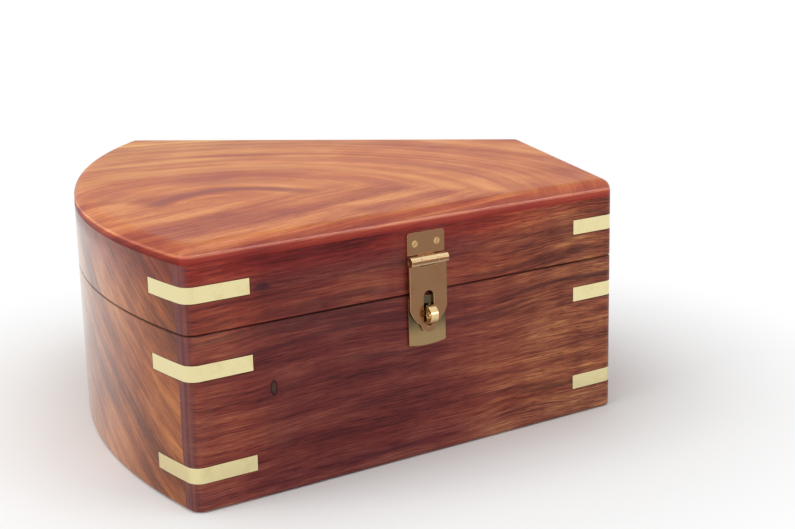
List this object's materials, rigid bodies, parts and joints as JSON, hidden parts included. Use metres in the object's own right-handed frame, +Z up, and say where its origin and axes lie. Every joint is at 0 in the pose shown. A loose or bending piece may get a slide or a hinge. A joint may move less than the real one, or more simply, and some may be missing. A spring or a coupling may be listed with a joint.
{
  "type": "sextant box",
  "caption": "Keystone-shaped wooden instrument case with a bent wide end, hinged lid, hasp with turning staple and brass corner straps.",
  "frame": {"origin": "underside of the base, on the case's line of symmetry, halfway between the bow of the wide end and the narrow end", "axes": "+Z up; -Y out of the front wall, which carries the hasp; +X along the front wall towards the narrow end"},
  "size_m": [0.3429, 0.3539, 0.139],
  "materials": {
    "lid_top_wood": "glossy varnish",
    "front_wood": "glossy varnish",
    "bent_wood": "glossy varnish",
    "base_wood": "satin",
    "rest_wood": "satin",
    "brass": "polished"
  },
  "bodies": {
    "case": {"base_board": "base_wood", "front_board": "front_wood", "back_board": "front_wood", "bent_end_wall": "bent_wood", "narrow_end_board": "front_wood", "lower_strap_wide_front": "brass", "upper_strap_wide_front": "brass", "lower_strap_wide_back": "brass", "upper_strap_wide_back": "brass", "lower_strap_narrow_front": "brass", "upper_strap_narrow_front": "brass", "lower_strap_narrow_back": "brass", "upper_strap_narrow_back": "brass", "leg_rest_1": "rest_wood", "leg_rest_2": "rest_wood", "leg_rest_3": "rest_wood", "grip_cradle": "rest_wood", "hinge_case_leaf_wide_end": "brass", "hinge_case_leaf_narrow_end": "brass", "hinge_pin_wide_end": "brass", "hinge_pin_narrow_end": "brass", "hinge_screws_case": "brass", "hasp_plate": "brass", "hasp_plate_screws": "brass"},
    "lid": {"lid_panel": "lid_top_wood", "lid_front_rail": "front_wood", "lid_back_rail": "front_wood", "lid_bent_rail": "bent_wood", "lid_narrow_rail": "front_wood", "lid_strap_wide_front": "brass", "lid_strap_wide_back": "brass", "lid_strap_narrow_front": "brass", "lid_strap_narrow_back": "brass", "hinge_lid_leaf_wide_end": "brass", "hinge_lid_leaf_narrow_end": "brass", "hinge_screws_lid": "brass", "hasp_leaf": "brass", "hasp_leaf_screws": "brass", "hasp_pin": "brass"},
    "flap": {"hasp_flap": "brass"},
    "staple": {"turning_staple": "brass"}
  },
  "joints": [
    {"name": "lid_hinge", "type": "hinge", "parent": "case", "child": "lid", "pos_m": [0.07217, 0.12089, 0.0932], "axis": [-0.7431, 0.6691, 0], "range_deg": [0, 105]},
    {"name": "flap_hinge", "type": "hinge", "parent": "lid", "child": "flap", "pos_m": [-0.02336, -0.13813, 0.1115], "axis": [-1, 0, 0], "range_deg": [0, 175]},
    {"name": "staple_turn", "type": "hinge", "parent": "case", "child": "staple", "pos_m": [-0.02336, -0.13863, 0.0812], "axis": [0, -1, 0], "range_deg": [0, 90]}
  ]
}
